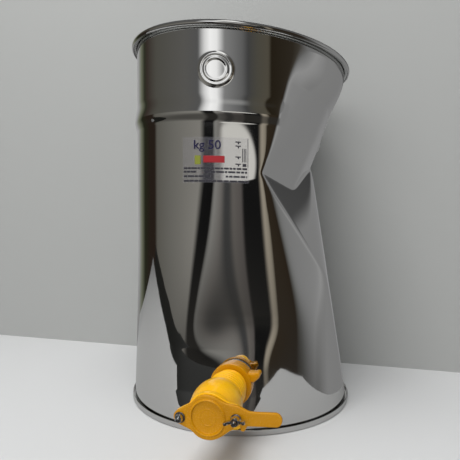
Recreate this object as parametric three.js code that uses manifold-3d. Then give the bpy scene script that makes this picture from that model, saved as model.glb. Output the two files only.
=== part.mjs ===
// A 50 kg stainless honey settling tank with a plastic honey gate and a drop-in double sieve.
// The tank has been knocked: its right side is buckled and its rim leans down towards the buckle.
// Millimetres, +Z up. The origin is on the floor, on the axis of the tank's foot.
// The gate points along -Y. "Bearing" is an angle round the tank, in degrees, measured
// from the middle of the label side; it grows towards the buckled side.
import * as THREE from "three";
import { mergeVertices } from "three/addons/utils/BufferGeometryUtils.js";
import Module from "manifold-3d";

const wasm = await Module();
wasm.setup();

// Driving dimensions of the tank
const WALL_R = 150; // outside of the straight wall
const SHEET = 0.8; // wall and bottom sheet
const RIM_Z = 498; // middle of the rolled rim before the knock
const RIM_WIRE_R = 2.7;
const GAP = 0.3; // between touching pieces
const FOOT_FLARE = 5; // how much wider the wall is at its foot
const FLARE_Z = 235; // where the flare starts
const BEAD_Z = 390; // pressed bead
const BEAD_H = 3.6;
const BEAD_RISE = 22; // how far it runs out above
const BEAD_FALL = 6; // and below
const FOOT_R = 158;
const FRONT_BEARING = -76.8; // plan angle of bearing 0, from +X
const TANK_SIDES = 52;

// The knock
const RIM_DROP = 18.5; // how far the rim dropped at bearing 0; twice that at bearing 90
const DROP_FROM_Z = 230;
// Corners of the folds: bearing, radius and height
const PINCH = [11, 147, 308];
const TUCK = [46.6, 97, 294];
const LIP = [75, 117.3, 371];
const RIDGE = [33.4, 146, 225];

// Gate, in its own frame: s runs out of the wall, u to the right, v up
const GATE_X = 29.1;
const GATE_Z = 65.6;
const GATE_WALL_Y = -145; // flat patch of the wall behind the gate
const GATE_ROLL = 4; // the gate was screwed home a little past level
const BORE_R = 14.5;
const BARREL_R = 23.2;
const NECK_R = 21.2;
const FACE_S = 111; // front face of the gate body
const BLADE_T = 3.7;
const PIVOT_U = -27.5;
const CLAMP_U = 28.5;
const HANDLE_TIP_U = 71.8;
const HANDLE_HALF = 6.6;
const BOLT_R = 2.5;
const HOLE_R = 2.8;

// Sieves, in the plane of the leaning rim; z = 0 is the middle of the rolled rim
const RIM_LEAN = Math.atan(RIM_DROP / WALL_R);
const SIEVE_SIDES = 40;

const radians = THREE.MathUtils.degToRad;
const v2 = (x, y) => new THREE.Vector2(x, y);

// ---- materials ----
function material(color, roughness, metalness) {
  return new THREE.MeshStandardMaterial({ color, roughness, metalness });
}
const mirrorSteel = material(0xc4c5c3, 0.08, 1);
const satinSteel = material(0xb4b5b3, 0.3, 1);
const zincSteel = material(0xa9abad, 0.25, 1);
const yellowPlastic = material(0xf2b40a, 0.4, 0);
const sealRubber = material(0x26282a, 0.8, 0);
const labelFilm = material(0xd4d5d8, 0.3, 0);

// ---- solids ----
function bare(geometry) {
  const plain = geometry.clone();
  for (const key of Object.keys(plain.attributes)) {
    if (key !== "position") plain.deleteAttribute(key);
  }
  return mergeVertices(plain, 1e-4);
}

function toSolid(geometry) {
  const plain = bare(geometry);
  const vertProperties = new Float32Array(plain.attributes.position.array);
  const triVerts = new Uint32Array(plain.index.array);
  return new wasm.Manifold(new wasm.Mesh({ numProp: 3, vertProperties, triVerts }));
}

function fromSolid(solid) {
  const result = solid.getMesh();
  const geometry = new THREE.BufferGeometry();
  geometry.setAttribute("position", new THREE.BufferAttribute(result.vertProperties, 3));
  geometry.setIndex(new THREE.BufferAttribute(result.triVerts, 1));
  return geometry;
}

function cut(geometry, ...tools) {
  let solid = toSolid(geometry);
  for (const tool of tools) solid = solid.subtract(toSolid(tool));
  return fromSolid(solid);
}

function join(geometry, ...others) {
  let solid = toSolid(geometry);
  for (const other of others) solid = solid.add(toSolid(other));
  return fromSolid(solid);
}

// Turns a profile of [radius, height] points about +Z. A ring's profile runs anticlockwise.
function turned(points, sides, closed = true) {
  const profile = points.map(([r, z]) => v2(r, z));
  if (closed) profile.push(profile[0].clone());
  const geometry = new THREE.LatheGeometry(profile, sides);
  geometry.rotateX(Math.PI / 2);
  return bare(geometry);
}

function tube(rIn, rOut, z0, z1, sides) {
  return turned([[rIn, z0], [rOut, z0], [rOut, z1], [rIn, z1]], sides);
}

function rod(radius, z0, z1, sides = 16) {
  const geometry = new THREE.CylinderGeometry(radius, radius, z1 - z0, sides);
  geometry.rotateX(Math.PI / 2);
  geometry.translate(0, 0, (z0 + z1) / 2);
  return geometry;
}

function plate(shape, z0, z1, curveSegments = 10) {
  const geometry = new THREE.ExtrudeGeometry(shape, {
    depth: z1 - z0,
    bevelEnabled: false,
    curveSegments,
  });
  geometry.translate(0, 0, z0);
  return geometry;
}

const arc = (cx, cy, r, from, to, steps) =>
  Array.from({ length: steps + 1 }, (_, i) => {
    const a = radians(from + ((to - from) * i) / steps);
    return [cx + r * Math.cos(a), cy + r * Math.sin(a)];
  });

// ---- the knocked wall ----
function rimDrop(bearing) {
  return RIM_DROP * (1 + Math.sin(radians(bearing)));
}

// Distance from the axis to a flat facet that faces one bearing
// The plane through three fold points, with its normal pointing out of the tank
function through(...corners) {
  const points = corners.map(([bearing, radius, z]) => new THREE.Vector3(
    radius * Math.cos(radians(bearing)), radius * Math.sin(radians(bearing)), z,
  ));
  const plane = new THREE.Plane().setFromCoplanarPoints(...points);
  const outward = plane.normal.x * points[1].x + plane.normal.y * points[1].y > 0;
  return outward ? plane : plane.negate();
}
// A plane square to a bearing, at a distance from the axis that grows with height by the slope
function leaning(facing, distance, height, slope) {
  const normal = new THREE.Vector3(
    Math.cos(radians(facing)), Math.sin(radians(facing)), -slope,
  );
  return new THREE.Plane(normal, slope * height - distance);
}
// Radius at which a plane is met, at a bearing and height
function reach(plane, bearing, z) {
  const { normal, constant } = plane;
  const along = normal.x * Math.cos(radians(bearing)) + normal.y * Math.sin(radians(bearing));
  return along > 0.15 ? (-constant - normal.z * z) / along : Infinity;
}
const upperSide = leaning(80, 102, 343, 0.4);
const upperFront = leaning(45, 124.4, 308, 0.098);
const upperPanel = leaning(63, 104, 343, 0.386);
const flap = through(PINCH, TUCK, LIP);
const lowerFaces = [
  leaning(80, 102, 343, -0.155),
  leaning(35, 142.5, 243, -0.055),
  through(PINCH, TUCK, RIDGE),
];
function knockedLimit(bearing, z) {
  const at = (face) => reach(face, bearing, z);
  const folded = Math.max(at(flap), at(upperPanel));
  const upper = Math.min(at(upperSide), at(upperFront), folded);
  const lower = Math.min(...lowerFaces.map(at));
  const below = Math.max(0, GATE_Z - 31 - z);
  const above = Math.max(0, z - GATE_Z - 31);
  const patchDistance = -GATE_WALL_Y + 0.5 * below + 0.035 * above;
  const gatePatch = leaning(-90 - FRONT_BEARING, patchDistance, 0, 0);
  return Math.min(Math.max(upper, lower), at(gatePatch));
}
function beadHeight(z) {
  const fromBead = z > BEAD_Z ? (z - BEAD_Z) / BEAD_RISE : (BEAD_Z - z) / BEAD_FALL;
  return fromBead < 1 ? BEAD_H * Math.cos((fromBead * Math.PI) / 2) ** 2 : 0;
}

function outerRadius(z) {
  const flare = FOOT_FLARE * Math.max(0, 1 - z / FLARE_Z) ** 2;
  return WALL_R + flare + beadHeight(z);
}

// Moves a point of the sound tank to where the knock left it
function knock(point) {
  const bearing = THREE.MathUtils.radToDeg(Math.atan2(point.y, point.x)) - FRONT_BEARING;
  const wrapped = ((((bearing + 180) % 360) + 360) % 360) - 180;
  const risen = THREE.MathUtils.clamp((point.z - DROP_FROM_Z) / (RIM_Z - DROP_FROM_Z), 0, 1);
  const z = point.z - rimDrop(wrapped) * risen;
  const sound = outerRadius(point.z);
  const kept = Math.min(sound, knockedLimit(wrapped, z) + beadHeight(point.z));
  const belowRim = THREE.MathUtils.clamp((RIM_Z - 14 - point.z) / 20, 0, 1);
  const radius = Math.hypot(point.x, point.y);
  const scale = (radius - (sound - kept) * belowRim) / radius;
  return point.set(point.x * scale, point.y * scale, z);
}

function knocked(geometry) {
  const position = geometry.attributes.position;
  const point = new THREE.Vector3();
  for (let i = 0; i < position.count; i += 1) {
    knock(point.fromBufferAttribute(position, i));
    position.setXYZ(i, point.x, point.y, point.z);
  }
  return geometry;
}

// ---- assembly helpers ----
const tank = new THREE.Group();

function place(parent, name, geometry, meshMaterial) {
  const mesh = new THREE.Mesh(geometry, meshMaterial);
  mesh.name = name;
  parent.add(mesh);
  return mesh;
}

// ---- tank ----
const CURL_MID_R = WALL_R + RIM_WIRE_R + 2 * GAP;
const CURL_IN = RIM_WIRE_R + 2 * GAP;
const CURL_OUT = CURL_IN + SHEET;
const wallHeights = [1.5, 20, 37, 66, 95, 140, 190, 240, 285, 308, 325, 343, 360];
wallHeights.push(372, 384, 387, 390, 395, 401, 412, 435, 462, 484);

function tankShell() {
  const inside = wallHeights.map((z) => [outerRadius(z) - SHEET, z]);
  const outside = wallHeights.map((z) => [outerRadius(z), z]).reverse();
  const curlOver = arc(CURL_MID_R, RIM_Z, CURL_OUT, 180, -60, 6);
  const curlUnder = arc(CURL_MID_R, RIM_Z, CURL_IN, -60, 180, 6);
  const profile = [...inside, ...curlOver, ...curlUnder, ...outside].reverse();
  const shell = knocked(turned(profile, TANK_SIDES));
  const drill = rod(FERRULE_R + GAP + 0.2, -30, 30, 28);
  drill.rotateX(Math.PI / 2);
  drill.translate(GATE_X, GATE_WALL_Y, GATE_Z);
  return cut(shell, drill);
}

function rimWire() {
  const wire = new THREE.TorusGeometry(CURL_MID_R, RIM_WIRE_R, 6, TANK_SIDES);
  wire.translate(0, 0, RIM_Z);
  return knocked(bare(wire));
}

function bottomPan() {
  const edge = WALL_R + 1.8;
  const flat = WALL_R - 7;
  const lift = 1.2; // the bottom's outer band sits higher than its middle
  return turned(
    [[0, 3], [flat, 3], [flat + 3, 3 + lift], [edge - SHEET, 3 + lift], [edge, 3.8 + lift],
      [edge, 12], [edge - SHEET, 12], [edge - SHEET, 3.3 + lift + SHEET],
      [edge - SHEET - 0.6, 3 + lift + SHEET], [flat + 2.7, 3 + lift + SHEET],
      [flat - 0.3, 3 + SHEET], [0, 3 + SHEET]],
    TANK_SIDES, false,
  );
}

function footRing() {
  const inner = WALL_R - 2;
  return turned([[inner, 0], [FOOT_R, 0], [FOOT_R, 7], [FOOT_R - 1.2, 7], [FOOT_R - 1.2, 1],
    [inner, 1]], TANK_SIDES);
}

// A film bent round the wall under the bead
function capacityLabel() {
  const width = 82;
  const height = 57;
  const middleZ = 330;
  const middleBearing = -11.7;
  const film = new THREE.BoxGeometry(width, height, 0.3, 12, 6, 1);
  const position = film.attributes.position;
  const point = new THREE.Vector3();
  for (let i = 0; i < position.count; i += 1) {
    point.fromBufferAttribute(position, i);
    const bearing = radians(middleBearing + FRONT_BEARING) + point.x / WALL_R;
    const radius = WALL_R + 0.45 + point.z;
    point.set(radius * Math.cos(bearing), radius * Math.sin(bearing), middleZ + point.y);
    knock(point);
    position.setXYZ(i, point.x, point.y, point.z);
  }
  return film;
}

// ---- gate ----
const FERRULE_R = 16.6;
const THREAD_R = 19.4;
const GATE_SIDES = 32;

function ferrule() {
  return turned([[BORE_R, -6], [FERRULE_R, -6], [FERRULE_R, GAP], [22, GAP], [22, 2.8],
    [THREAD_R, 2.8], [THREAD_R, 17.6], [BORE_R, 17.6]], GATE_SIDES);
}

function lockRing() {
  const nut = turned([[THREAD_R + 0.4, 4], [24.6, 4], [24.6, 20], [26, 22], [26, 30],
    [17.8, 30], [17.8, 23.4], [THREAD_R + 0.4, 23.4]], GATE_SIDES);
  const wing = new THREE.Shape([v2(23, -7), v2(31, -5.5), v2(36.2, -3), v2(37, 0), v2(36, 2.2),
    v2(30, 3.2), v2(23, 7)]);
  const solids = [21, 201].map((angle) => {
    const geometry = plate(wing, 12, 29);
    geometry.rotateZ(radians(angle));
    return geometry;
  });
  return join(nut, ...solids);
}

const unionGasket = () => tube(BORE_R + 0.3, THREAD_R - 0.4, 17.9, 19.1, GATE_SIDES);

// Outline shared by the left ear and the round part of both plates
function leftEar(r) {
  return [
    ...arc(0, 0, r, 62, 118, 6),
    [-17, 12.6],
    [-24, 9.4],
    ...arc(PIVOT_U, 0, 7, 110, 250, 8),
    [-24, -9.4],
    [-17, -12.6],
    ...arc(0, 0, r, 232, 308, 8),
  ];
}

function gateBody() {
  const bodyPlate = new THREE.Shape(
    [...leftEar(BARREL_R - 0.6), [22, -12.4], [30, -11.4], ...arc(28.5, 0, 8.6, -60, 60, 6),
      [30, 11.4], [22, 12.4]].map(([u, v]) => v2(u, v)),
  );
  const barrel = turned([[BORE_R, 19.4], [THREAD_R, 19.4], [THREAD_R, 23], [17.2, 23], [17.2, 37],
    [NECK_R, 37], [NECK_R, 66], [BARREL_R, 68], [BARREL_R, FACE_S], [18, FACE_S], [18, 66],
    [BORE_R, 60]], GATE_SIDES);
  const flange = plate(bodyPlate, FACE_S - 4, FACE_S);
  return cut(
    join(barrel, flange),
    rod(18, FACE_S - 10, FACE_S + 5, GATE_SIDES),
    rod(HOLE_R, FACE_S - 10, FACE_S + 5).translate(PIVOT_U, 0, 0),
    rod(HOLE_R, FACE_S - 10, FACE_S + 5).translate(CLAMP_U, 0, 0),
    tube(18.6, 21, FACE_S - 1.6, FACE_S + 3, GATE_SIDES),
  );
}

const faceSeal = () => tube(18.9, 20.7, FACE_S - 1.3, FACE_S, GATE_SIDES);

function blade() {
  const slotHalf = BOLT_R + 0.7;
  const tip = HANDLE_TIP_U - HANDLE_HALF;
  const outline = new THREE.Shape([
    ...leftEar(21.5),
    [20, -11.8],
    [CLAMP_U - slotHalf, -10.6],
    ...arc(CLAMP_U, 0, slotHalf, 180, 0, 8),
    [CLAMP_U + slotHalf, -10.4],
    [32.8, -11.8],
    [36, -11.4],
    [38, -HANDLE_HALF],
    ...arc(tip, 0, HANDLE_HALF, -90, 90, 10),
    [43, HANDLE_HALF],
    [38.5, 8],
    [33, 11.3],
    [28, 12.7],
    [22, 13.4],
    [16, 15.6],
  ].map(([u, v]) => v2(u, v)));
  const back = FACE_S + GAP;
  const front = back + BLADE_T;
  return cut(
    join(plate(outline, back, front), tube(15.6, 17.6, front - 1, front + 1.2, GATE_SIDES)),
    rod(HOLE_R, back - 2, front + 2).translate(PIVOT_U, 0, 0),
  );
}

const BLADE_FRONT = FACE_S + GAP + BLADE_T;
const CLAMP_WASHER_BACK = BLADE_FRONT + 0.8; // the wing nut is slack, so the blade can swing

// A hexagon-headed bolt whose head bears on the back of the flange
function bolt(endS) {
  const headTop = FACE_S - 4 - GAP;
  return join(rod(4.6, headTop - 3.6, headTop, 6), rod(BOLT_R, headTop - 1, endS));
}

const washer = (back) => tube(HOLE_R, 5.4, back, back + 1, 20);

function domeNut() {
  const base = BLADE_FRONT + 1 + 2 * GAP;
  return turned([[HOLE_R, base], [4.3, base], [4.3, base + 2.4], ...arc(0, base + 2.4, 4, 5, 85, 5),
    [0, base + 6.4], [0, base + 5], [HOLE_R, base + 4.4]], 20, true);
}

function wingNut() {
  const base = CLAMP_WASHER_BACK + 1 + GAP;
  const hub = turned([[HOLE_R, base], [4.7, base], [3.9, base + 6.5], [HOLE_R, base + 6.5]], 20);
  const side = new THREE.Shape([v2(3.2, 0.6), v2(7, 1.4), v2(10.6, 5), v2(10.4, 8.6), v2(8, 9.2),
    v2(5.6, 7), v2(3.4, 5.6)]);
  const wings = [0, 180].map((angle) => {
    const geometry = plate(side, -0.9, 0.9);
    geometry.rotateX(Math.PI / 2);
    geometry.translate(0, 0, base);
    geometry.rotateZ(radians(angle + 5));
    return geometry;
  });
  return join(hub, ...wings);
}

// ---- sieves ----
// A hoop with a flange that hangs on what it sits in
function sieveHoop(radius, flangeZ, depth) {
  return turned([[radius - SHEET, flangeZ - depth], [radius, flangeZ - depth],
    [radius, flangeZ], [radius + 5.3, flangeZ], [radius + 5.3, flangeZ + SHEET],
    [radius - SHEET, flangeZ + SHEET]], SIEVE_SIDES);
}

// A woven basket: a cone with a flat floor
function sieveBasket(topR, topZ, floorR, floorZ) {
  return turned([[0, floorZ], [floorR, floorZ], [topR, topZ], [topR - 1, topZ],
    [floorR - 0.6, floorZ + 0.9], [0, floorZ + 0.9]], SIEVE_SIDES, false);
}

// The band that ties the cone to the floor
function sieveFloorBand(floorR, floorZ) {
  const band = new THREE.TorusGeometry(floorR + 1.6, 1.2, 6, SIEVE_SIDES);
  band.translate(0, 0, floorZ - 1.5);
  return band;
}

// ---- the whole object ----
place(tank, "tank_shell", tankShell(), mirrorSteel);
place(tank, "rim_wire", rimWire(), satinSteel);
place(tank, "bottom_pan", bottomPan(), satinSteel);
place(tank, "foot_ring", footRing(), mirrorSteel);
place(tank, "capacity_label", capacityLabel(), labelFilm);

const gateMount = new THREE.Group();
gateMount.position.set(GATE_X, GATE_WALL_Y, GATE_Z);
gateMount.rotation.x = Math.PI / 2;
const gate = new THREE.Group();
gate.rotation.z = radians(GATE_ROLL);
gateMount.add(gate);
tank.add(gateMount);

place(gate, "outlet_ferrule", ferrule(), satinSteel);
place(gate, "union_gasket", unionGasket(), sealRubber);
place(gate, "lock_ring", lockRing(), yellowPlastic);
place(gate, "gate_body", gateBody(), yellowPlastic);
place(gate, "face_seal", faceSeal(), sealRubber);
place(gate, "gate_blade", blade(), yellowPlastic);
place(gate, "pivot_bolt", bolt(BLADE_FRONT + 5), zincSteel).position.x = PIVOT_U;
place(gate, "pivot_washer", washer(BLADE_FRONT + GAP), zincSteel).position.x = PIVOT_U;
place(gate, "pivot_dome_nut", domeNut(), zincSteel).position.x = PIVOT_U;
place(gate, "clamp_bolt", bolt(BLADE_FRONT + 13), zincSteel).position.x = CLAMP_U;
place(gate, "clamp_washer", washer(CLAMP_WASHER_BACK), zincSteel).position.x = CLAMP_U;
place(gate, "wing_nut", wingNut(), zincSteel).position.x = CLAMP_U;

const sieves = new THREE.Group();
sieves.position.z = RIM_Z - RIM_DROP;
const leanAxis = radians(FRONT_BEARING + 180);
sieves.quaternion.setFromAxisAngle(
  new THREE.Vector3(Math.cos(leanAxis), Math.sin(leanAxis), 0),
  RIM_LEAN,
);
tank.add(sieves);

place(sieves, "fine_sieve_hoop", sieveHoop(146, 3.9, 12), satinSteel);
place(sieves, "fine_sieve_basket", sieveBasket(144.8, -4, 100, -72), satinSteel);
place(sieves, "fine_sieve_floor_band", sieveFloorBand(100, -72), satinSteel);
place(sieves, "coarse_sieve_hoop", sieveHoop(141.2, 5, 11), satinSteel);
place(sieves, "coarse_sieve_basket", sieveBasket(140, -2, 92, -46), satinSteel);
place(sieves, "coarse_sieve_floor_band", sieveFloorBand(92, -46), satinSteel);

export default tank;
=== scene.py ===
"""Looks for a knocked honey settling tank with a plastic honey gate and a double sieve."""

import math
import random

import bmesh
import bpy
import numpy as np
from mathutils import Matrix, Vector


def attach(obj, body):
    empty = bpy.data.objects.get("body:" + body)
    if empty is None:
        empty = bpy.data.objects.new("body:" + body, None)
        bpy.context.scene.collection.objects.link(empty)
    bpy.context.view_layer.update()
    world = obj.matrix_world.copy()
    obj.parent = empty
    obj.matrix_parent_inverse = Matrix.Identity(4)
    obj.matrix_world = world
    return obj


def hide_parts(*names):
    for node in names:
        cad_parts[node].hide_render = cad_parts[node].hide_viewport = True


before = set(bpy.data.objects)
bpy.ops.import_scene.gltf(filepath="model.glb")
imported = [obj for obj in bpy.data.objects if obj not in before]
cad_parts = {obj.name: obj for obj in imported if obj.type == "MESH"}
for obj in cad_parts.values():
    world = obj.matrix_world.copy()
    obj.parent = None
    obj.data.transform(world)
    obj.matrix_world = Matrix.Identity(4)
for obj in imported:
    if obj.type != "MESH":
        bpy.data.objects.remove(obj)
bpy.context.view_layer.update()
scene = bpy.context.scene
MM = 0.001

# ---- driving dimensions, in millimetres ----
# They match the part's own model, except that the bead is lower and runs out softer.
WALL_R = 150.0  # outside of the straight wall
SHEET = 0.8
RIM_Z = 498.0  # middle of the rolled rim before the knock
BEAD_Z = 390.0
BEAD_H = 3.2
BEAD_RISE = 24.0  # how far the bead runs out above
BEAD_FALL = 13.0  # and below
FOOT_FLARE = 5.0
FLARE_Z = 235.0
FRONT_BEARING = -76.8  # plan angle of bearing 0, in degrees from +X
RIM_DROP = 18.5  # how far the rim dropped at bearing 0; twice that at bearing 90
DROP_FROM_Z = 230.0
CURL_R = 3.7
CURL_MID_R = WALL_R + 3.3
RIM_WIRE_R = 2.7
FOOT_R = 158.0

PRESSED_IN = 5.6  # how deep the wall above the gate is pressed in
PRESSED_FROM_Z = 74.0
PRESSED_RISE = 56.0
PRESSED_TO_Z = 300.0
PRESSED_FALL = 162.0
PRESSED_HALF = 28.0  # degrees to each side
BADGE_BEARING = -11.0
BADGE_Z = 443.0
BADGE_R = 20.0

GATE_X = 29.1
GATE_Z = 65.6
GATE_WALL_Y = -145.0
GATE_ROLL = math.radians(4)
FACE_S = 111.0  # front face of the gate body, from the wall
BLADE_BACK = FACE_S + 0.3
BLADE_T = 3.7
BLADE_FRONT = BLADE_BACK + BLADE_T
CLAMP_WASHER_BACK = BLADE_FRONT + 0.8
BARREL_R = 23.2
BORE_R = 14.5
THREAD_R = 19.4
FERRULE_R = 16.6
PIVOT_U = -27.5  # bolts and handle, to the right of the bore
CLAMP_U = 28.5
HANDLE_TIP_U = 71.8
HANDLE_HALF = 6.6
HOLE_R = 2.8

# ---- the camera and the lights, in metres ----
CAMERA_SIDE = math.radians(FRONT_BEARING)
CAMERA_DISTANCE = 0.697
CAMERA_HEIGHT = 0.256
CAMERA_PITCH = math.radians(-1.48)
CAMERA_YAW = math.radians(1.23)
LENS = 36.39
LIGHT_DISTANCE = 2.4
LIGHT_AIM = Vector((0, 0, 0.25))


# ---------------------------------------------------------------- the knocked wall
# Fold points of the buckle, as bearing in degrees, radius and height.
PINCH = (11, 147, 308)
TUCK = (46.6, 97, 294)
LIP = (75, 117.3, 371)
RIDGE = (33.4, 146, 225)


def ease(share):
    """Runs from 0 to 1 as the share does, level at both ends."""
    return share * share * (3 - 2 * share)


def outer_radius(z):
    return WALL_R + FOOT_FLARE * np.maximum(0, 1 - z / FLARE_Z) ** 2


def bead_height(z):
    rise = np.clip(1 - (z - BEAD_Z) / BEAD_RISE, 0, 1)
    fall = np.clip(1 - (BEAD_Z - z) / BEAD_FALL, 0, 1)
    return BEAD_H * ease(np.where(z > BEAD_Z, rise, fall))


def through(*corners):
    """The plane through three fold points, as its outward normal and distance."""
    points = [Vector((r * math.cos(math.radians(b)), r * math.sin(math.radians(b)), z))
              for b, r, z in corners]
    normal = (points[1] - points[0]).cross(points[2] - points[0]).normalized()
    if normal.x * points[1].x + normal.y * points[1].y < 0:
        normal.negate()
    return normal, normal.dot(points[0])


def leaning(facing, distance, height, slope):
    """A face seen from its bearing: its distance from the axis changes by slope with height."""
    turn = math.radians(facing)
    return Vector((math.cos(turn), math.sin(turn), -slope)), distance - slope * height


def reach(face, bearing, z):
    """Radius at which a face is met, at each bearing and height."""
    normal, distance = face
    turn = np.radians(bearing)
    along = normal.x * np.cos(turn) + normal.y * np.sin(turn)
    return np.where(along > 0.15, (distance - normal.z * z) / np.maximum(along, 0.15), 1e3)


def soft_min(a, b, softness):
    gap = np.minimum(np.abs(a - b) / softness, 60)
    return np.minimum(a, b) - softness * np.log1p(np.exp(-gap))


def soft_max(a, b, softness):
    return -soft_min(-a, -b, softness)


# Flat faces of the buckle.
UPPER_SIDE = leaning(80, 102, 343, 0.4)
UPPER_FRONT = leaning(46, 123.5, 308, 0.13)
UPPER_PANEL = leaning(63, 104, 343, 0.386)
FLAP = through(PINCH, TUCK, LIP)
LOWER_SIDE = leaning(80, 102, 343, -0.155)
LOWER_FRONT = leaning(35, 142.5, 243, -0.075)
LOWER_FOLD = through(PINCH, TUCK, RIDGE)


def buckle(bearing, z):
    """Radius the buckle leaves, large where the wall is still round."""
    folded = soft_max(reach(FLAP, bearing, z), reach(UPPER_PANEL, bearing, z), 1.0)
    upper = soft_min(reach(UPPER_SIDE, bearing, z), reach(UPPER_FRONT, bearing, z), 3.0)
    upper = soft_min(upper, folded, 3.0)
    lower = soft_min(reach(LOWER_FRONT, bearing, z), reach(LOWER_FOLD, bearing, z), 0.5)
    lower = soft_min(lower, reach(LOWER_SIDE, bearing, z), 3.0)
    return soft_max(upper, lower, 0.5)


def gate_flat(z):
    """Distance from the axis to the flattened wall behind the gate."""
    above = np.maximum(0, z - GATE_Z - 31)
    below = np.maximum(0, GATE_Z - 22 - z)
    foot = np.maximum(0, 16 - z)
    return -GATE_WALL_Y + 0.05 * above + 0.12 * below + 0.4 * foot


def over_gate(bearing, z):
    """How far the wall above the gate is pressed in, so that it leans back from the gate."""
    rise = np.clip((z - PRESSED_FROM_Z) / PRESSED_RISE, 0, 1)
    fall = np.clip((PRESSED_TO_Z - z) / PRESSED_FALL, 0, 1)
    side = np.clip(1 - (bearing / PRESSED_HALF) ** 2, 0, 1)
    return PRESSED_IN * ease(rise) * fall * side * side


def knock(bearing, radius, z):
    """Where the knock left points of the sound tank: x, y, z arrays in millimetres."""
    drop = RIM_DROP * (1 + np.sin(np.radians(bearing)))
    fallen = z - drop * np.clip((z - DROP_FROM_Z) / (RIM_Z - DROP_FROM_Z), 0, 1)
    sound = outer_radius(z)
    across = np.maximum(np.cos(np.radians(bearing + 90 + FRONT_BEARING)), 0.3)
    flat = gate_flat(fallen) / across
    kept = np.where(z < 330, soft_min(sound, flat, 2.4), sound)
    kept = kept - over_gate(bearing, fallen)
    kept = soft_min(kept, buckle(bearing, fallen), 0.8)
    depth = sound - kept
    # the bead is nearly flattened where the wall is folded, and the rim stays round
    bead = bead_height(z) * np.clip(1 - depth / 6, 0.12, 1)
    below_rim = np.clip((RIM_Z - 10 - z) / 50, 0, 1)
    moved = radius - depth * below_rim + bead
    angle = np.radians(bearing + FRONT_BEARING)
    return moved * np.cos(angle), moved * np.sin(angle), fallen


# ---------------------------------------------------------------- materials
def new_material(name):
    material = bpy.data.materials.new(name)
    material.use_nodes = True
    tree = material.node_tree
    shader = tree.nodes["Principled BSDF"]
    return material, tree, shader


def add(tree, kind, **inputs):
    node = tree.nodes.new(kind)
    for key, value in inputs.items():
        node.inputs[key.replace("_", " ")].default_value = value
    return node


def noise_bump(tree, shader, scale, strength, distance):
    coords = tree.nodes.new("ShaderNodeTexCoord")
    noise = add(tree, "ShaderNodeTexNoise", Scale=scale, Detail=3.0)
    bump = add(tree, "ShaderNodeBump", Strength=strength, Distance=distance)
    tree.links.new(coords.outputs["Object"], noise.inputs["Vector"])
    tree.links.new(noise.outputs["Fac"], bump.inputs["Height"])
    tree.links.new(bump.outputs["Normal"], shader.inputs["Normal"])
    return noise


def ranged(tree, source, low, high):
    mapper = add(tree, "ShaderNodeMapRange", To_Min=low, To_Max=high)
    tree.links.new(source, mapper.inputs["Value"])
    return mapper.outputs["Result"]


def steel(name, tint, low_rough, high_rough, scale=9.0, bump=0.02):
    material, tree, shader = new_material(name)
    shader.inputs["Metallic"].default_value = 1.0
    shader.inputs["Base Color"].default_value = (*tint, 1)
    noise = noise_bump(tree, shader, scale, bump, 0.001)
    tree.links.new(ranged(tree, noise.outputs["Fac"], low_rough, high_rough),
                   shader.inputs["Roughness"])
    return material


def plastic(name, deep, pale, rough):
    material, tree, shader = new_material(name)
    noise = noise_bump(tree, shader, 900.0, 0.06, 0.0004)
    coords = tree.nodes.new("ShaderNodeTexCoord")
    patches = add(tree, "ShaderNodeTexNoise", Scale=35.0, Detail=4.0)
    tree.links.new(coords.outputs["Object"], patches.inputs["Vector"])
    ramp = tree.nodes.new("ShaderNodeValToRGB")
    ramp.color_ramp.elements[0].position = 0.3
    ramp.color_ramp.elements[0].color = (*deep, 1)
    ramp.color_ramp.elements[1].position = 0.7
    ramp.color_ramp.elements[1].color = (*pale, 1)
    tree.links.new(patches.outputs["Fac"], ramp.inputs["Fac"])
    tree.links.new(ramp.outputs["Color"], shader.inputs["Base Color"])
    tree.links.new(ranged(tree, noise.outputs["Fac"], rough - 0.05, rough + 0.06),
                   shader.inputs["Roughness"])
    shader.inputs["Coat Weight"].default_value = 0.35
    shader.inputs["Coat Roughness"].default_value = 0.18
    shader.inputs["Subsurface Weight"].default_value = 0.08
    shader.inputs["Subsurface Radius"].default_value = (0.004, 0.002, 0.0006)
    return material


MIRROR = steel("mirror_polished_steel", (0.80, 0.80, 0.79), 0.02, 0.07, 6.0, 0.004)
SATIN = steel("plain_steel", (0.62, 0.63, 0.62), 0.18, 0.32, 60.0, 0.05)
ZINC = steel("zinc_plated_steel", (0.60, 0.61, 0.62), 0.12, 0.26, 140.0, 0.08)
YELLOW = plastic("yellow_plastic", (0.84, 0.42, 0.003), (0.92, 0.50, 0.006), 0.28)
# Painted shade: a darker copy of the same yellow plastic, for the blade and the lock ring, which sit
# in shade.
SHADED_YELLOW = plastic("shaded_yellow_plastic", (0.50, 0.215, 0.0012), (0.58, 0.26, 0.002), 0.26)
RUBBER = plastic("seal_rubber", (0.012, 0.012, 0.012), (0.03, 0.03, 0.03), 0.7)
MESH_WIRE = steel("sieve_wire", (0.60, 0.61, 0.60), 0.25, 0.40, 300.0, 0.05)


def printed_film(name, colour, rough, alpha=1.0):
    material, tree, shader = new_material(name)
    noise = noise_bump(tree, shader, 90.0, 0.03, 0.0005)
    shader.inputs["Base Color"].default_value = (*colour, 1)
    shader.inputs["Alpha"].default_value = alpha
    tree.links.new(ranged(tree, noise.outputs["Fac"], rough - 0.05, rough + 0.05),
                   shader.inputs["Roughness"])
    return material


CLEAR_FILM = printed_film("clear_film", (0.40, 0.39, 0.44), 0.16, 0.06)
INK_BLUE = printed_film("navy_ink", (0.010, 0.008, 0.045), 0.40)
INK_RED = printed_film("red_ink", (0.30, 0.014, 0.020), 0.40)
INK_GREEN = printed_film("green_ink", (0.20, 0.22, 0.03), 0.40)
INK_GREY = printed_film("grey_ink", (0.035, 0.034, 0.042), 0.40)


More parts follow.
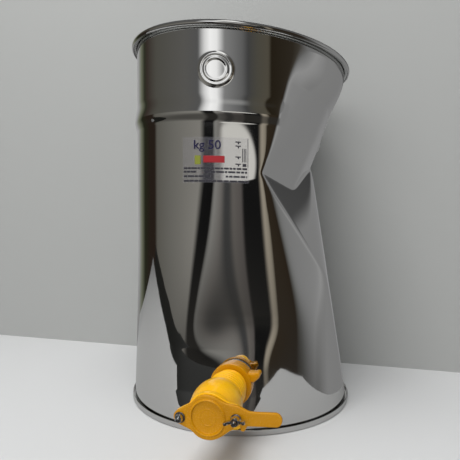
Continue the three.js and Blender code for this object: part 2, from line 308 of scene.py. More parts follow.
# ---------------------------------------------------------------- mesh helpers
def make_object(name, points, faces, material, smooth=True):
    mesh = bpy.data.meshes.new(name)
    mesh.from_pydata([tuple(p) for p in points], [], [tuple(f) for f in faces])
    mesh.validate()
    mesh.polygons.foreach_set("use_smooth", [smooth] * len(mesh.polygons))
    mesh.materials.append(material)
    obj = bpy.data.objects.new(name, mesh)
    scene.collection.objects.link(obj)
    return obj


def grid_faces(rows, columns, wrap_rows=False, wrap_columns=True):
    faces = []
    for i in range(rows if wrap_rows else rows - 1):
        for j in range(columns if wrap_columns else columns - 1):
            k, m = (i + 1) % rows, (j + 1) % columns
            faces.append((i * columns + j, i * columns + m, k * columns + m, k * columns + j))
    return faces


def settle(obj, body, slot, *nodes):
    """Rides the piece on its body and hides the CAD nodes it stands for; slot is not used."""
    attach(obj, body)
    if nodes:
        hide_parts(*nodes)
    return obj


# ---------------------------------------------------------------- the tank
def spread(breaks):
    """Values from (start, step) pairs; the last pair's start is the end."""
    values = []
    for (start, step), (end, _) in zip(breaks, breaks[1:]):
        count = max(1, round((end - start) / step))
        values += [start + (end - start) * i / count for i in range(count)]
    return np.array(values + [breaks[-1][0]])


def medallion(bearing, z):
    """Height of the plain round badge pressed into the wall: a raised field with two rings."""
    across = np.radians(bearing - BADGE_BEARING) * WALL_R
    away = np.minimum(np.hypot(across, z - BADGE_Z), 2 * BADGE_R)
    ring = np.exp(-((away - BADGE_R + 0.5) / 1.5) ** 2)
    inner = np.exp(-((away - BADGE_R + 6) / 1.3) ** 2)
    field = 1 / (1 + np.exp((away - BADGE_R) / 0.8))
    return 0.5 * field + 0.9 * ring + 0.7 * inner


def outlet_hole(points, faces):
    """Drops the faces over the outlet and pulls the edge of the gap into a round hole."""
    centre = np.array([GATE_X, GATE_Z]) * MM
    hole = (FERRULE_R + 0.3) * MM
    out = points[:, [0, 2]] - centre
    away = np.hypot(out[:, 0], out[:, 1])
    front = points[:, 1] < 0
    inside = front & (away < hole - 0.9 * MM)
    edge = front & ~inside & (away < hole + 0.9 * MM)
    points[np.ix_(edge, [0, 2])] = centre + out[edge] * (hole / away[edge])[:, None]
    return [face for face in faces if not inside[list(face)].any()]


def tank_shell():
    bearings = spread([(-40, 0.8), (-21, 0.5), (12, 1.0), (75, 1.5), (320, 0)])[:-1]
    bearings = (bearings + 180) % 360 - 180
    heights = spread([(1.5, 1.5), (130, 2.5), (376, 0.9), (415, 1.3), (470, 2.5), (RIM_Z, 0)])
    curl = np.radians(np.linspace(180, -60, 25))[1:]
    radii = np.concatenate([outer_radius(heights) - SHEET / 2, CURL_MID_R + CURL_R * np.cos(curl)])
    levels = np.concatenate([heights, RIM_Z + CURL_R * np.sin(curl)])
    bearing, radius = np.meshgrid(bearings, radii)
    level = np.repeat(levels[:, None], len(bearings), 1)
    radius = radius + medallion(bearing, level)
    points = (np.stack(knock(bearing, radius, level), -1) * MM).reshape(-1, 3)
    faces = outlet_hole(points, grid_faces(len(levels), len(bearings)))
    shell = make_object("tank_wall", points, faces, MIRROR)
    sheet = shell.modifiers.new("sheet", "SOLIDIFY")
    sheet.thickness = SHEET * MM
    sheet.offset = 0.0
    return settle(shell, "tank", "mirror_steel", "tank_shell")


def lathe(profile, sides=96, place=Matrix.Identity(4), closed=True):
    """Points and faces of [radius, height] points in mm turned about z, then put in place."""
    turns = np.arange(sides) * 2 * math.pi / sides
    points = [place @ Vector((r * math.cos(a) * MM, r * math.sin(a) * MM, z * MM))
              for r, z in profile for a in turns]
    return points, grid_faces(len(profile), sides, wrap_rows=closed)


def rounded(profile, radius=0.5, steps=3, closed=True):
    """The profile with its corners rounded, each by at most a third of its shorter side."""
    corners = [Vector(point) for point in profile]
    points = []
    for i, corner in enumerate(corners):
        before, after = corners[i - 1], corners[(i + 1) % len(corners)]
        if not closed and i in (0, len(corners) - 1):
            points.append(corner)
            continue
        into, out = before - corner, after - corner
        reach_back = min(radius, into.length / 3)
        reach_on = min(radius, out.length / 3)
        start = corner + into.normalized() * reach_back
        end = corner + out.normalized() * reach_on
        for k in range(steps + 1):
            t = k / steps
            points.append(start * (1 - t) ** 2 + corner * (2 * t * (1 - t)) + end * t ** 2)
    return [tuple(point) for point in points]


def softened(outline, times=2):
    """Cuts the corners of an outline, so that it runs smoothly."""
    points = [Vector(point) for point in outline]
    for _ in range(times):
        cut = []
        for here, after in zip(points, points[1:] + points[:1]):
            cut += [here * 0.75 + after * 0.25, here * 0.25 + after * 0.75]
        points = cut
    return [tuple(point) for point in points]


def arc(u, v, radius, start, end, count=12):
    turns = [math.radians(start + (end - start) * i / count) for i in range(count + 1)]
    return [(u + radius * math.cos(turn), v + radius * math.sin(turn)) for turn in turns]


def surface_of(curve):
    """Corners and faces of the surface that a curve makes; the curve itself is dropped."""
    holder = bpy.data.objects.new("outline", curve)
    scene.collection.objects.link(holder)
    mesh = bpy.data.meshes.new_from_object(
        holder.evaluated_get(bpy.context.evaluated_depsgraph_get()))
    corners = [vertex.co.copy() for vertex in mesh.vertices]
    faces = [tuple(polygon.vertices) for polygon in mesh.polygons]
    bpy.data.objects.remove(holder)
    bpy.data.meshes.remove(mesh)
    bpy.data.curves.remove(curve)
    return corners, faces


def plate(outlines, back, front, bevel, place=Matrix.Identity(4)):
    """Points and faces of a flat plate with rounded edges; later outlines are holes."""
    curve = bpy.data.curves.new("outline", "CURVE")
    curve.dimensions = "2D"
    curve.fill_mode = "BOTH"
    for outline in outlines:
        spline = curve.splines.new("POLY")
        spline.points.add(len(outline) - 1)
        for point, (u, v) in zip(spline.points, outline):
            point.co = (u, v, 0, 1)
        spline.use_cyclic_u = True
    curve.extrude = (front - back) / 2 - bevel
    curve.bevel_depth = bevel
    curve.bevel_resolution = 2
    curve.offset = -bevel
    corners, faces = surface_of(curve)
    middle = Vector((0, 0, (front + back) / 2))
    return [place @ ((corner + middle) * MM) for corner in corners], faces


def piece(name, solids, material, body, slot, *nodes):
    """One object from several closed surfaces, smooth except at sharp corners."""
    points, faces = [], []
    for more_points, more_faces in solids:
        faces += [tuple(i + len(points) for i in face) for face in more_faces]
        points += more_points
    obj = make_object(name, points, faces, material)
    mesh = bmesh.new()
    mesh.from_mesh(obj.data)
    bmesh.ops.remove_doubles(mesh, verts=mesh.verts, dist=2e-6)
    bmesh.ops.recalc_face_normals(mesh, faces=mesh.faces)
    for edge in mesh.edges:
        edge.smooth = len(edge.link_faces) == 2 and edge.calc_face_angle(0) < math.radians(32)
    mesh.to_mesh(obj.data)
    mesh.free()
    return settle(obj, body, slot, *nodes)


tank_shell()


def knocked(points):
    """Points given as plan angle, radius and height in mm, moved as the knock moved the wall."""
    angle, radius, level = (np.array(column, float) for column in zip(*points))
    bearing = (np.degrees(angle) - FRONT_BEARING + 180) % 360 - 180
    return [Vector(point) * MM for point in np.stack(knock(bearing, radius, level), -1)]


def rim_wire():
    """The wire that the rim is curled round, ten-sided."""
    around, section = 180, 10
    places = []
    for i in range(section):
        turn = 2 * math.pi * i / section
        radius = CURL_MID_R + RIM_WIRE_R * math.cos(turn)
        level = RIM_Z + RIM_WIRE_R * math.sin(turn)
        places += [(2 * math.pi * j / around, radius, level) for j in range(around)]
    return knocked(places), grid_faces(section, around, wrap_rows=True)


piece("rim_core", [rim_wire()], SATIN, "tank", "satin_steel", "rim_wire")
PAN_EDGE = WALL_R + 1.8
PAN_FLAT = WALL_R - 7
pan_profile = [(0, 3), (PAN_FLAT, 3), (PAN_FLAT + 3, 4.2), (PAN_EDGE, 4.2), (PAN_EDGE, 12),
               (PAN_EDGE - SHEET, 12), (PAN_EDGE - SHEET, 5), (PAN_FLAT + 2.7, 5),
               (PAN_FLAT - 0.3, 3.8), (0, 3.8)]
piece("bottom_sheet", [lathe(rounded(pan_profile, 0.6, closed=False), 120, closed=False)],
      SATIN, "tank", "satin_steel", "bottom_pan")
foot_profile = [(WALL_R - 2, 0), (FOOT_R, 0), (FOOT_R, 7), (FOOT_R - 1.2, 7),
                (FOOT_R - 1.2, 1), (WALL_R - 2, 1)]
piece("foot_chime", [lathe(rounded(foot_profile, 1.0), 160)], MIRROR, "tank", "mirror_steel",
      "foot_ring")

# ---------------------------------------------------------------- the gate
GATE = (Matrix.Translation(Vector((GATE_X, GATE_WALL_Y, GATE_Z)) * MM)
        @ Matrix.Rotation(math.pi / 2, 4, "X") @ Matrix.Rotation(GATE_ROLL, 4, "Z"))


def beside(u):
    """The gate's own frame, moved to the bolt at u."""
    return GATE @ Matrix.Translation((u * MM, 0, 0))


def left_ear(radius):
    """The outline round the pivot bolt, which the gate's face and its blade share."""
    return (arc(0, 0, radius, 62, 118) + [(-17, 12.6), (-24, 9.4)]
            + arc(PIVOT_U, 0, 7, 110, 250) + [(-24, -9.4), (-17, -12.6)]
            + arc(0, 0, radius, 232, 308))


# Profiles are radius and distance from the wall; outlines are right and up from the bore.
ferrule_profile = [(BORE_R, -6), (FERRULE_R, -6), (FERRULE_R, 0.3), (22, 0.3), (22, 2.8),
                   (THREAD_R, 2.8), (THREAD_R, 17.6), (BORE_R, 17.6)]
piece("steel_ferrule", [lathe(rounded(ferrule_profile, 0.5), 64, GATE)], SATIN, "tank",
      "satin_steel", "outlet_ferrule")
piece("neck_gasket", [lathe(rounded([(14.8, 17.9), (19, 17.9), (19, 19.1), (14.8, 19.1)], 0.3),
                            64, GATE)], RUBBER, "tank", "seal_rubber", "union_gasket")

ring_profile = [(19.8, 4), (23.2, 4), (23.2, 12), (24.4, 14), (24.4, 26), (17.8, 26), (17.8, 23.4),
                (19.8, 23.4)]
wing = softened([(23, -7), (31, -5.5), (36.2, -3), (37, 0), (36, 2.2), (30, 3.2), (23, 7)])
ring_wings = [plate([wing], 12, 26, 1.6, GATE @ Matrix.Rotation(math.radians(turn), 4, "Z"))
              for turn in (21, 201)]
# The lock ring takes the yellow plastic with painted shade.
piece("union_nut", [lathe(rounded(ring_profile, 1.1), 80, GATE), *ring_wings], SHADED_YELLOW,
      "lock_ring", "yellow_plastic", "lock_ring")

thread = []
for turn in range(5):
    start = 26.6 + turn * 2.2
    thread += [(17.4, start), (18.9, start + 0.9), (18.9, start + 1.3)]
ribs = []
for rib in range(5):
    start = 39 + rib * 5.0
    ribs += [(20.0, start), (20.0, start + 1.2), (21.4, start + 2.2), (21.4, start + 4.0)]
body_profile = [(BORE_R, 19.4), (THREAD_R, 19.4), (THREAD_R, 23), (17.2, 23), (17.2, 26), *thread,
                (17.4, 37.6), (20.9, 38), *ribs, (21.0, 65.5), (22.2, 67.5), (23.8, 69.5), (25.0, 73),
                (25.9, 79), (26.1, 84), (25.7, 90), (24.6, 96), (22.9, 101), (22.0, 103.5),
                (22.6, 105), (22.6, 109), (18, 109), (18, 66), (BORE_R, 60)]
body_outline = softened(left_ear(BARREL_R - 0.6) + [(22, -12.4), (30, -11.4)]
                        + arc(CLAMP_U, 0, 8.6, -60, 60) + [(30, 11.4), (22, 12.4)], 1)
body_plate = plate([body_outline, arc(0, 0, 18, 0, 354, 59),
                    arc(PIVOT_U, 0, HOLE_R, 0, 330, 11), arc(CLAMP_U, 0, HOLE_R, 0, 330, 11)],
                   FACE_S - 4, FACE_S, 0.7, GATE)
piece("valve_body", [lathe(rounded(body_profile, 0.7), 96, GATE), body_plate], YELLOW, "tank",
      "yellow_plastic", "gate_body")
piece("o_ring", [lathe(rounded([(18.9, FACE_S - 1.3), (20.7, FACE_S - 1.3), (20.7, FACE_S),
                                (18.9, FACE_S)], 0.5), 64, GATE)],
      RUBBER, "tank", "seal_rubber", "face_seal")

slot_half = 3.2
tip_u = HANDLE_TIP_U - HANDLE_HALF
blade_outline = softened(
    left_ear(21.5) + [(20, -11.8), (CLAMP_U - slot_half, -10.6)]
    + arc(CLAMP_U, 0, slot_half, 180, 0) + [(CLAMP_U + slot_half, -10.4), (32.8, -11.8),
                                            (36, -11.4), (38, -HANDLE_HALF), (41, -HANDLE_HALF)]
    + arc(tip_u, 0, HANDLE_HALF, -90, 90)
    + [(43, HANDLE_HALF), (38.5, 8), (33, 11.3), (28, 12.7), (22, 13.4), (16, 15.6)], 2)
blade_plate = plate([blade_outline, arc(0, 0, 17.4, 0, 354, 59),
                     arc(PIVOT_U, 0, HOLE_R, 0, 330, 11)], BLADE_BACK, BLADE_FRONT, 0.8, GATE)
dish = [(0, 0.2), (18.4, 0.2), (18.5, 3.3), (18.1, 4.2), (17.5, 4.8), (16.9, 5.0), (16.3, 4.8),
        (15.9, 4.2), (15.6, 3.1), (15.1, 2.8), (8.6, 2.8), (8.2, 3.05), (7.6, 3.05), (7.2, 2.8),
        (0, 2.8)]
blade_dish = lathe([(r, BLADE_BACK + h) for r, h in dish], 96, GATE, closed=False)
# The blade takes the yellow plastic with painted shade.
piece("valve_blade", [blade_plate, blade_dish], SHADED_YELLOW, "blade", "yellow_plastic", "gate_blade")


# ---------------------------------------------------------------- the gate's fasteners
def flat_washer(back, place):
    return lathe(rounded([(HOLE_R, back), (5.4, back), (5.4, back + 1), (HOLE_R, back + 1)], 0.3),
                 48, place)


def bolt(end):
    """An M5 bolt with its hexagon head behind the face plate."""
    head = FACE_S - 4.3
    shank = [(0, head - 1), (2.5, head - 1), (2.5, end - 0.8), (1.7, end), (0, end)]
    hexagon = arc(0, 0, 4.6, 0, 300, 5)
    return [lathe(shank, 32, closed=False), plate([hexagon], head - 3.6, head, 0.35)]


def fasten(solids, u):
    """Moves solids made about the gate's z axis to the bolt at u."""
    return [([beside(u) @ point for point in points], faces) for points, faces in solids]


piece("pivot_screw", fasten(bolt(BLADE_FRONT + 5), PIVOT_U), ZINC, "tank", "zinc_steel",
      "pivot_bolt")
piece("clamp_screw", fasten(bolt(BLADE_FRONT + 13), CLAMP_U), ZINC, "tank", "zinc_steel",
      "clamp_bolt")
piece("pivot_shim", [flat_washer(BLADE_FRONT + 0.3, beside(PIVOT_U))], ZINC, "tank",
      "zinc_steel", "pivot_washer")
piece("clamp_shim", [flat_washer(CLAMP_WASHER_BACK, beside(CLAMP_U))], ZINC, "clamp_washer",
      "zinc_steel", "clamp_washer")
dome_base = BLADE_FRONT + 1.6
dome = [(HOLE_R, dome_base), (4.0, dome_base), (4.0, dome_base + 2.4)]
dome += [(r, dome_base + 2.4 + h) for r, h in arc(0, 0, 3.9, 5, 90, 8)]
dome += [(0, dome_base + 5), (HOLE_R, dome_base + 4.4)]
nut_hexagon = plate([arc(0, 0, 4.5, 15, 315, 5), arc(0, 0, 3.0, 0, 330, 11)], dome_base,
                    dome_base + 2.5, 0.3, beside(PIVOT_U))
piece("cap_nut", [lathe(dome, 32, beside(PIVOT_U)), nut_hexagon], ZINC, "tank", "zinc_steel",
      "pivot_dome_nut")
nut_base = CLAMP_WASHER_BACK + 1.3
nut_hub = [(HOLE_R, nut_base), (4.7, nut_base), (4.5, nut_base + 2.5), (3.9, nut_base + 6.5),
           (HOLE_R, nut_base + 6.5)]
nut_wing = softened([(3.0, 0.6), (7, 1.2), (10.6, 4.6), (11.0, 7.6), (9.6, 9.6), (7.6, 9.0),
                     (5.8, 6.6), (3.2, 5.6)])
stand = Matrix.Translation((0, 0, nut_base * MM)) @ Matrix.Rotation(math.pi / 2, 4, "X")
nut_wings = [plate([nut_wing], -1.4, 1.4, 0.8, beside(CLAMP_U)
                   @ Matrix.Rotation(math.radians(turn), 4, "Z") @ stand) for turn in (5, 185)]
piece("butterfly_nut", [lathe(rounded(nut_hub, 0.6), 40, beside(CLAMP_U)), *nut_wings], ZINC,
      "wing_nut", "zinc_steel", "wing_nut")


# ---------------------------------------------------------------- the double sieve
LEAN_AXIS = Vector((math.cos(CAMERA_SIDE + math.pi), math.sin(CAMERA_SIDE + math.pi), 0))
SIEVES = (Matrix.Translation((0, 0, (RIM_Z - RIM_DROP) * MM))
          @ Matrix.Rotation(math.atan(RIM_DROP / WALL_R), 4, LEAN_AXIS))


def hoop(radius, flange, depth):
    """The sieve's upright hoop with the flange that hangs it."""
    profile = [(radius - SHEET, flange - depth), (radius, flange - depth), (radius, flange),
               (radius + 5.3, flange), (radius + 5.3, flange + SHEET),
               (radius - SHEET, flange + SHEET)]
    return lathe(rounded(profile, 0.35), 128, SIEVES)


def wire(start, end, thickness):
    """A straight wire with four sides between two points in mm."""
    start, end = Vector(start), Vector(end)
    along = (end - start).normalized()
    side = along.orthogonal().normalized() * thickness
    other = along.cross(side)
    ring = [side, other, -side, -other]
    points = [SIEVES @ ((base + offset) * MM) for base in (start, end) for offset in ring]
    return points, grid_faces(2, 4)


def wire_cloth(top_r, top_z, floor_r, floor_z, pitch, thickness):
    """Woven wire on the sloping side and the flat floor of a sieve."""
    solids = []
    ribs = round(math.pi * (top_r + floor_r) / pitch)
    for i in range(ribs):
        turn = 2 * math.pi * i / ribs
        across, up = math.cos(turn), math.sin(turn)
        solids.append(wire((top_r * across, top_r * up, top_z),
                           (floor_r * across, floor_r * up, floor_z), thickness))
    rings = round(math.hypot(top_r - floor_r, top_z - floor_z) / pitch)
    for i in range(rings):
        share = i / rings
        radius = top_r + (floor_r - top_r) * share
        z = top_z + (floor_z - top_z) * share
        section = [(radius + thickness * math.cos(turn), z + thickness * math.sin(turn))
                   for turn in (0, math.pi / 2, math.pi, 3 * math.pi / 2)]
        solids.append(lathe(section, 96, SIEVES))
    to_edge = int(floor_r / pitch)
    for i in range(-to_edge, to_edge + 1):
        offset = i * pitch
        half = math.sqrt(max(floor_r ** 2 - offset ** 2, 0))
        if half > 1:
            solids.append(wire((offset, -half, floor_z), (offset, half, floor_z), thickness))
            solids.append(wire((-half, offset, floor_z), (half, offset, floor_z), thickness))
    return solids


def floor_band(radius, z):
    """The round wire band where the cloth turns from its side to its floor."""
    section = [(radius + 1.0 + 1.1 * math.cos(turn), z + 1.1 * math.sin(turn))
               for turn in np.linspace(0, 2 * math.pi, 10, endpoint=False)]
    return lathe(section, 96, SIEVES)


# The cone is the cloth's top radius and height, then its floor's.
for grade, flange_r, flange_z, depth, cone, pitch, thickness in (
        ("fine", 146, 3.9, 12, (144.6, -4, 100, -72), 2.6, 0.28),
        ("coarse", 141.2, 5, 11, (139.8, -2, 92, -46), 4.2, 0.42)):
    body = grade + "_sieve"
    piece(grade + "_hoop", [hoop(flange_r, flange_z, depth)], SATIN, body, "satin_steel",
          body + "_hoop")
    piece(grade + "_cloth", wire_cloth(*cone, pitch, thickness), MESH_WIRE, body, "sieve_mesh",
          body + "_basket")
    piece(grade + "_floor_ring", [floor_band(cone[2], cone[3])], SATIN, body, "satin_steel",
          body + "_floor_band")


# ---------------------------------------------------------------- the label
LABEL_BEARING = -11.7
LABEL_Z = 330.0
FILM_LIFT = 0.55  # above the wall's outside, in mm
PRINT_LIFT = 0.66


def on_label(points, lift):
    """Flat label points, right and up from its middle in mm, laid on the wall."""
    spots = [(math.radians(LABEL_BEARING + FRONT_BEARING) + u / WALL_R,
              WALL_R + lift, LABEL_Z + v) for u, v in points]
    return knocked(spots)


def patch_on_label(u, v, width, height, lift=PRINT_LIFT):
    """A rectangle on the label, cut into small ones so that it follows the wall."""
    columns, rows = (max(1, round(size / 4)) for size in (width, height))
    points = [(u + width * i / columns, v + height * k / rows)
              for k in range(rows + 1) for i in range(columns + 1)]
    return on_label(points, lift), grid_faces(rows + 1, columns + 1, wrap_columns=False)


def lettering(text, size, u, v):
    """Plain figures on the label, from their left foot at u, v."""
    curve = bpy.data.curves.new("figures", "FONT")
    curve.body = text
    curve.size = size
    curve.resolution_u = 4
    curve.offset = 0.08
    corners, faces = surface_of(curve)
    return on_label([(u + corner.x, v + corner.y) for corner in corners], PRINT_LIFT), faces


def printed(name, solids, material, thickness=0.06, *nodes):
    """A thin layer on the wall that rides with the tank."""
    obj = piece(name, solids, material, "tank", "label_film", *nodes)
    layer = obj.modifiers.new("layer", "SOLIDIFY")
    layer.thickness = thickness * MM
    return obj


printed("clear_label", [patch_on_label(-41, -28.5, 82, 57, FILM_LIFT)], CLEAR_FILM, 0.25,
        "capacity_label")
printed("capacity_figures", [lettering("kg 50", 16.0, -26.5, 13.6)], INK_BLUE)
printed("red_bar", [patch_on_label(-13.5, -3.2, 26, 8.4)], INK_RED)
printed("green_bar", [patch_on_label(-24.5, -5.6, 7.5, 11)], INK_GREEN)

# Grey marks of chance lengths stand for the small print, and spell nothing.
chooser = random.Random(7)
small_print = []
for v, gaps in ((-11.2, ()), (-15.6, ((-20, -17),)), (-21.2, ((-3, 15),)), (-27.0, ())):
    u = -39.5
    while u < 38.5:
        width = min(chooser.uniform(2.5, 9.5), 39 - u)
        if not any(start < u + width / 2 < end for start, end in gaps):
            small_print.append(patch_on_label(u, v - 0.4, width, 2.3))
        u += width + 1.1
for v in (23.5, 18.5, 4.8, -4.2):
    small_print.append(patch_on_label(25.2, v - 1, 6.4, 1.3))
    small_print.append(patch_on_label(28.0, v - 3, 1.6, 3.2))
for row in range(3):
    small_print.append(patch_on_label(33.2 + row * 1.9, -2, 0.9, 17))
small_print.append(patch_on_label(33.6, -7.5, 4.4, 3.6))
printed("small_print", small_print, INK_GREY)
printed("edge_line", [patch_on_label(39.6, -8, 0.5, 36)], INK_GREY)


# ---------------------------------------------------------------- stage, light and camera
def camera_frame(right, towards, up):
    """A point given from the tank's axis as the camera sees it: right, towards it and up, in m."""
    ahead = Vector((math.cos(CAMERA_SIDE), math.sin(CAMERA_SIDE), 0))
    across = Vector((-math.sin(CAMERA_SIDE), math.cos(CAMERA_SIDE), 0))
    return ahead * towards + across * right + Vector((0, 0, up))


def stage_sheet(name, corners, colour, one_sided=False):
    """A flat sheet of the stage; a one-sided one is clear from behind."""
    material, tree, shader = new_material(name)
    shader.inputs["Base Color"].default_value = (*colour, 1)
    shader.inputs["Roughness"].default_value = 0.6
    if one_sided:
        clear = tree.nodes.new("ShaderNodeBsdfTransparent")
        side = tree.nodes.new("ShaderNodeNewGeometry")
        blend = tree.nodes.new("ShaderNodeMixShader")
        tree.links.new(side.outputs["Backfacing"], blend.inputs["Fac"])
        tree.links.new(shader.outputs[0], blend.inputs[1])
        tree.links.new(clear.outputs[0], blend.inputs[2])
        tree.links.new(blend.outputs[0], tree.nodes["Material Output"].inputs["Surface"])
    points = [camera_frame(*corner) for corner in corners]
    obj = make_object(name, points, [tuple(range(len(points)))], material, smooth=False)
    return obj


def wall_line(right):
    """How far towards the camera the pale wall behind the tank stands, in metres."""
    return -0.171 + 0.26 * right


STAGE = 3.0
WALL_TOP = 2.2
floor = stage_sheet("floor", [(-STAGE, STAGE, -0.0005), (-STAGE, -STAGE, -0.0005),
                              (STAGE, -STAGE, -0.0005), (STAGE, STAGE, -0.0005)],
                    (0.655, 0.66, 0.66))
backdrop = stage_sheet("backdrop", [(-STAGE, wall_line(-STAGE), -0.001),
                                    (STAGE, wall_line(STAGE), -0.001),
                                    (STAGE, wall_line(STAGE), WALL_TOP),
                                    (-STAGE, wall_line(-STAGE), WALL_TOP)],
                       (0.39, 0.395, 0.385), one_sided=True)

# The steel mirrors a pale table top with a dark room beyond it; only reflections show them.
TABLE_EDGE = [(-2.65, -0.68), (-1.28, -0.04), (-0.7, 0.18), (-0.28, 0.29), (-0.16, 0.21), (-0.02, 0.2),
              (0.03, 0.27), (0.08, 0.32), (0.25, 0.37), (0.28, 0.22), (0.2, 0.08), (0.17, -0.12),
              (-0.23, -0.21), (-0.5, -0.45)]
table = stage_sheet("table_top", [(right, towards, -0.0003) for right, towards in TABLE_EDGE],
                    (0.40, 0.40, 0.40))
BEYOND_EDGE = [(-4.2, -0.8), (-2.05, 0), (-1.05, 0.3), (-0.4, 0.4), (-0.16, 0.37), (-0.1, 0.31),
               (-0.1, 0.1), (-1, -0.2)]
beyond = stage_sheet("beyond_table", [(right, towards, -0.002) for right, towards in BEYOND_EDGE],
                     (0.016, 0.018, 0.014))
for sheet in (floor, backdrop):
    sheet.visible_glossy = False
for sheet in (table, beyond):
    sheet.visible_camera = False
    sheet.visible_diffuse = False
    sheet.visible_shadow = False


def area_light(name, bearing, elevation, size, power):
    """A soft light, at a bearing from the camera's side and an elevation in degrees."""
    light = bpy.data.lights.new(name, "AREA")
    light.energy = power
    light.size = size
    obj = bpy.data.objects.new(name, light)
    scene.collection.objects.link(obj)
    angle = CAMERA_SIDE + math.radians(bearing)
    up = math.radians(elevation)
    obj.location = Vector((math.cos(angle) * math.cos(up), math.sin(angle) * math.cos(up),
                           math.sin(up))) * LIGHT_DISTANCE
    obj.rotation_euler = (LIGHT_AIM - obj.location).to_track_quat("-Z", "Y").to_euler()
    obj.visible_glossy = False


area_light("window", -24, 27, 1.9, 30)
area_light("overhead", -25, 74, 1.2, 40)

scene.view_settings.view_transform = "Standard"
world = bpy.data.worlds.new("room")
scene.world = world
world.use_nodes = True


# What the steel mirrors, by azimuth in degrees from the camera's side: the dark and pale bands
# of a room, near the floor and higher up.
LOW_BANDS = [
    (-180, 0.42), (-150, 0.36), (-136, (0.16, 0.17, 0.12)), (-126, (0.02, 0.022, 0.012)),
    (-113, (0.022, 0.015, 0.011)), (-103, (0.022, 0.015, 0.011)), (-99, (0.115, 0.11, 0.095)),
    (-80, (0.155, 0.15, 0.135)), (-42, (0.235, 0.225, 0.205)), (-37, 0.008), (-28, 0.006),
    (-26, (0.24, 0.235, 0.22)), (-20, (0.16, 0.15, 0.14)), (-16, 0.05), (-12, 0.05),
    (-8, (0.13, 0.12, 0.11)), (0, (0.10, 0.09, 0.085)), (3, 0.008), (19, 0.008),
    (22, (0.34, 0.30, 0.24)), (26, (0.26, 0.23, 0.18)), (28, (0.03, 0.022, 0.014)),
    (60, (0.025, 0.018, 0.012)), (68, (0.10, 0.10, 0.095)), (76, 0.22), (84, 0.32),
    (100, 0.24), (140, 0.22), (164, 0.24), (180, 0.42),
]
HIGH_BANDS = [
    (-180, 0.42), (-150, 0.36), (-136, (0.16, 0.17, 0.12)), (-126, (0.03, 0.032, 0.02)),
    (-118, (0.045, 0.034, 0.028)), (-100, (0.085, 0.082, 0.07)), (-60, (0.11, 0.107, 0.10)),
    (-44, (0.10, 0.10, 0.10)), (-37, 0.75), (-31, 1.05), (-24, 0.95), (-16, 0.24),
    (2, 0.13), (8, 0.06), (18, (0.08, 0.075, 0.06)), (29, (0.09, 0.08, 0.06)),
    (32, (0.02, 0.015, 0.009)), (56, (0.03, 0.024, 0.017)), (64, (0.05, 0.044, 0.035)),
    (74, 0.17), (115, 0.24), (132, 0.10), (150, 0.05), (162, 0.08), (180, 0.4),
]
ROOM_SPLIT = (11.5, 14.0)  # elevations between which the low bands turn into the high ones
CEILING_FROM = (34.0, 50.0)


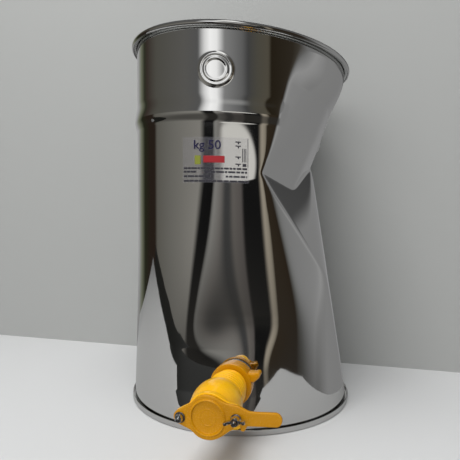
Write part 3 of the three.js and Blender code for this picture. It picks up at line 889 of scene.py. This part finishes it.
def room(tree):
    """A plain pale studio for the camera, soft light, and the room that the steel mirrors."""
    nodes, links = tree.nodes, tree.links
    nodes.clear()
    output = nodes.new("ShaderNodeOutputWorld")

    def value(kind, a, b=None, c=None, clamp=False):
        node = nodes.new("ShaderNodeMath")
        node.operation = kind
        node.use_clamp = clamp
        for socket, item in zip(node.inputs, (a, b, c)):
            if item is None:
                continue
            if isinstance(item, (int, float)):
                socket.default_value = item
            else:
                links.new(item, socket)
        return node.outputs[0]

    def smooth_between(source, low, high):
        node = nodes.new("ShaderNodeMapRange")
        node.interpolation_type = "SMOOTHSTEP"
        node.inputs["From Min"].default_value = low
        node.inputs["From Max"].default_value = high
        links.new(source, node.inputs["Value"])
        return node.outputs["Result"]

    def window(source, low, high, soft):
        rising = smooth_between(source, low - soft, low + soft)
        falling = smooth_between(source, high + soft, high - soft)
        return value("MULTIPLY", rising, falling)

    def mix(factor, a, b):
        node = nodes.new("ShaderNodeMix")
        node.data_type = "RGBA"
        links.new(factor, node.inputs["Factor"])
        for socket, item in zip((node.inputs["A"], node.inputs["B"]), (a, b)):
            if isinstance(item, tuple):
                socket.default_value = (*item, 1)
            else:
                links.new(item, socket)
        return node.outputs["Result"]

    coords = nodes.new("ShaderNodeTexCoord")
    parts = nodes.new("ShaderNodeSeparateXYZ")
    links.new(coords.outputs["Generated"], parts.inputs[0])
    ux, uy = math.cos(CAMERA_SIDE), math.sin(CAMERA_SIDE)
    ahead = value("ADD", value("MULTIPLY", parts.outputs["X"], ux),
                  value("MULTIPLY", parts.outputs["Y"], uy))
    right = value("ADD", value("MULTIPLY", parts.outputs["X"], -uy),
                  value("MULTIPLY", parts.outputs["Y"], ux))
    azimuth = value("MULTIPLY", value("ARCTAN2", right, ahead), 180 / math.pi)
    elevation = value("MULTIPLY", value("ARCSINE", parts.outputs["Z"]), 180 / math.pi)

    def bands(stops):
        """Colour by azimuth, from (degrees, grey or colour) stops."""
        ramp = nodes.new("ShaderNodeValToRGB")
        elements = ramp.color_ramp.elements
        for index, (degrees, tone) in enumerate(stops):
            place = (degrees + 180) / 360
            element = elements[index] if index < 2 else elements.new(place)
            element.position = place
            element.color = (*tone, 1) if isinstance(tone, tuple) else (tone, tone, tone, 1)
        links.new(value("DIVIDE", value("ADD", azimuth, 180.0), 360.0), ramp.inputs["Fac"])
        return ramp.outputs["Color"]

    colour = mix(smooth_between(elevation, *ROOM_SPLIT), bands(LOW_BANDS), bands(HIGH_BANDS))
    # a round bright patch low in the middle
    along = value("DIVIDE", value("ADD", azimuth, 8.0), 24.0)
    above = value("DIVIDE", value("SUBTRACT", elevation, 6.6), 5.2)
    from_middle = value("SQRT", value("ADD", value("MULTIPLY", along, along),
                                      value("MULTIPLY", above, above)))
    patch = value("MULTIPLY", smooth_between(from_middle, 1.08, 0.92),
                  smooth_between(azimuth, -23.0, -16.0))
    colour = mix(patch, colour, (0.62, 0.605, 0.57))
    # the floor darkens towards the camera's side
    far_floor = smooth_between(elevation, -1.0, -24.0)
    before_wall = smooth_between(azimuth, 106.0, 86.0)
    far_floor = value("MULTIPLY", value("MULTIPLY", far_floor, before_wall), 0.75)
    colour = mix(far_floor, colour, (0.03, 0.028, 0.025))
    ceiling = smooth_between(elevation, *CEILING_FROM)
    overhead = mix(window(azimuth, -26.0, 10.0, 6.0), (0.10, 0.10, 0.10), (1.0, 1.0, 0.98))
    colour = mix(ceiling, colour, overhead)

    paths = nodes.new("ShaderNodeLightPath")
    seen = nodes.new("ShaderNodeBackground")
    links.new(colour, seen.inputs["Color"])
    seen.inputs["Strength"].default_value = 1.0
    behind = nodes.new("ShaderNodeBackground")
    behind.inputs["Color"].default_value = (0.50, 0.50, 0.495, 1)
    behind.inputs["Strength"].default_value = 1.0
    soft = nodes.new("ShaderNodeBackground")
    soft.inputs["Color"].default_value = (0.80, 0.82, 0.84, 1)
    soft.inputs["Strength"].default_value = 0.17
    camera_or_soft = nodes.new("ShaderNodeMixShader")
    links.new(paths.outputs["Is Camera Ray"], camera_or_soft.inputs["Fac"])
    links.new(soft.outputs[0], camera_or_soft.inputs[1])
    links.new(behind.outputs[0], camera_or_soft.inputs[2])
    final = nodes.new("ShaderNodeMixShader")
    links.new(paths.outputs["Is Glossy Ray"], final.inputs["Fac"])
    links.new(camera_or_soft.outputs[0], final.inputs[1])
    links.new(seen.outputs[0], final.inputs[2])
    links.new(final.outputs[0], output.inputs["Surface"])


room(world.node_tree)

camera_data = bpy.data.cameras.new("photo_camera")
camera_data.sensor_width = 36
camera_data.lens = LENS
camera = bpy.data.objects.new("photo_camera", camera_data)
scene.collection.objects.link(camera)
camera.location = (CAMERA_DISTANCE * math.cos(CAMERA_SIDE),
                   CAMERA_DISTANCE * math.sin(CAMERA_SIDE), CAMERA_HEIGHT)
camera.rotation_euler = (math.pi / 2 + CAMERA_PITCH, 0,
                         CAMERA_SIDE + math.pi / 2 + CAMERA_YAW)
scene.camera = camera
